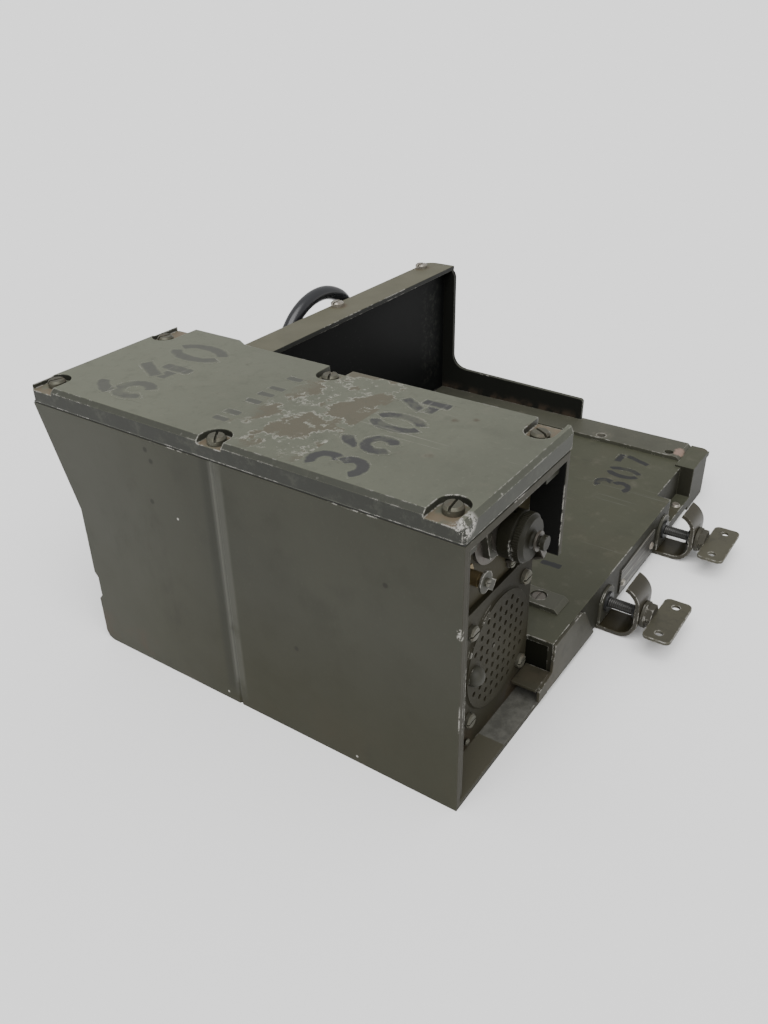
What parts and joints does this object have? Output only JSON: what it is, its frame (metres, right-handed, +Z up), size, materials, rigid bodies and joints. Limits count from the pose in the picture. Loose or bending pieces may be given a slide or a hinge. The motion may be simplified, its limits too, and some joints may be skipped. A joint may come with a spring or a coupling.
{
  "type": "vehicle radio amplifier with tray",
  "caption": "Tall olive amplifier case with a built-in loudspeaker beside a low radio tray with bearing rails, a rear guard and screw-turned hook clamps.",
  "frame": {"origin": "centre of the bounding box's footprint, on the surface the unit stands on", "axes": "+X from the amplifier case towards the tray, +Y to the rear guard, +Z up"},
  "size_m": [0.385, 0.3236, 0.1667],
  "materials": {
    "olive_paint": "matt olive paint, chipped at the edges",
    "olive_lid": "matt olive paint, scratched and scraped",
    "black_paint": "matt black paint",
    "gasket": "matt",
    "dark_steel": "dull, dirty",
    "bright_steel": "worn plating",
    "plated_steel": "zinc plated",
    "black_steel": "black oxide",
    "magnet": "dark ferrite",
    "cone_paper": "pressed paper",
    "black_plastic": "moulded",
    "strap": "dull strap",
    "brass": "tarnished",
    "core_steel": "varnished laminations",
    "coil_wrap": "varnished wrap",
    "aluminium_can": "plain",
    "board": "glass epoxy",
    "plate_metal": "bare, brushed",
    "cable_rubber": "satin"
  },
  "bodies": {
    "base": {"case_shell": "olive_paint", "case_lid": "olive_lid", "lid_gasket": "gasket", "lid_screws": "dark_steel", "connector_panel": "olive_paint", "speaker_plate": "olive_paint", "plate_screws": "bright_steel", "grille_dome": "olive_paint", "speaker_frame": "plated_steel", "speaker_magnet": "magnet", "speaker_cone": "cone_paper", "socket_flange": "dark_steel", "socket_shell": "dark_steel", "socket_nut": "olive_paint", "socket_insert": "black_plastic", "cap_lanyard": "strap", "lanyard_screw": "bright_steel", "lever_bush": "brass", "switch_body": "black_plastic", "chassis_plate": "plated_steel", "transformer_core": "core_steel", "transformer_coil": "coil_wrap", "filter_capacitors": "aluminium_can", "circuit_board": "board", "board_posts": "plated_steel", "heat_sink": "aluminium_can", "power_transistors": "plated_steel", "tray_pan": "olive_paint", "tray_bolts": "plated_steel", "front_gusset": "olive_paint", "right_rail": "olive_paint", "left_rail": "olive_paint", "rail_screws": "dark_steel", "pocket_rivet": "bright_steel", "guard_frame": "olive_paint", "guard_panel": "black_paint", "guard_screws": "bright_steel", "blank_plate": "plate_metal", "blank_plate_rivets": "bright_steel", "clamp_pads": "olive_paint", "clamp_bushes": "black_steel", "cable": "cable_rubber", "case_gland": "black_steel", "guard_socket": "dark_steel", "cable_elbow": "black_steel"},
    "cap": {"dust_cap": "dark_steel"},
    "lever": {"lever_shaft": "brass", "switch_lever": "olive_paint", "lever_screw": "bright_steel"},
    "left_clamp_hook": {"left_hook": "olive_paint"},
    "left_clamp_screw": {"left_screw": "black_steel", "left_wing": "olive_paint", "left_retainer": "black_steel"},
    "right_clamp_hook": {"right_hook": "olive_paint"},
    "right_clamp_screw": {"right_screw": "black_steel", "right_wing": "olive_paint", "right_retainer": "black_steel"}
  },
  "joints": [
    {"name": "left_clamp_slide", "type": "slide", "parent": "base", "child": "left_clamp_hook", "axis": [0, 1, 0], "range_m": [-0.008, 0.012]},
    {"name": "left_clamp_turn", "type": "hinge", "parent": "left_clamp_hook", "child": "left_clamp_screw", "pos_m": [-0.0085, -0.13825, 0.0155], "axis": [0, 1, 0], "range_deg": [-2270, 3405]},
    {"name": "right_clamp_slide", "type": "slide", "parent": "base", "child": "right_clamp_hook", "axis": [0, 1, 0], "range_m": [-0.008, 0.012]},
    {"name": "right_clamp_turn", "type": "hinge", "parent": "right_clamp_hook", "child": "right_clamp_screw", "pos_m": [0.0931, -0.13825, 0.0155], "axis": [0, 1, 0], "range_deg": [-2270, 3405]},
    {"name": "cap_turn", "type": "hinge", "parent": "base", "child": "cap", "pos_m": [-0.1345, -0.10425, 0.1295], "axis": [0, -1, 0], "range_deg": [-90, 0]},
    {"name": "lever_turn", "type": "hinge", "parent": "base", "child": "lever", "pos_m": [-0.1595, -0.10525, 0.116], "axis": [0, 1, 0], "range_deg": [-35, 35]}
  ],
  "couplings": [
    {"joint": "left_clamp_turn", "follows": "left_clamp_slide", "rad_per_m": 4947.4},
    {"joint": "right_clamp_turn", "follows": "right_clamp_slide", "rad_per_m": 4947.4}
  ]
}
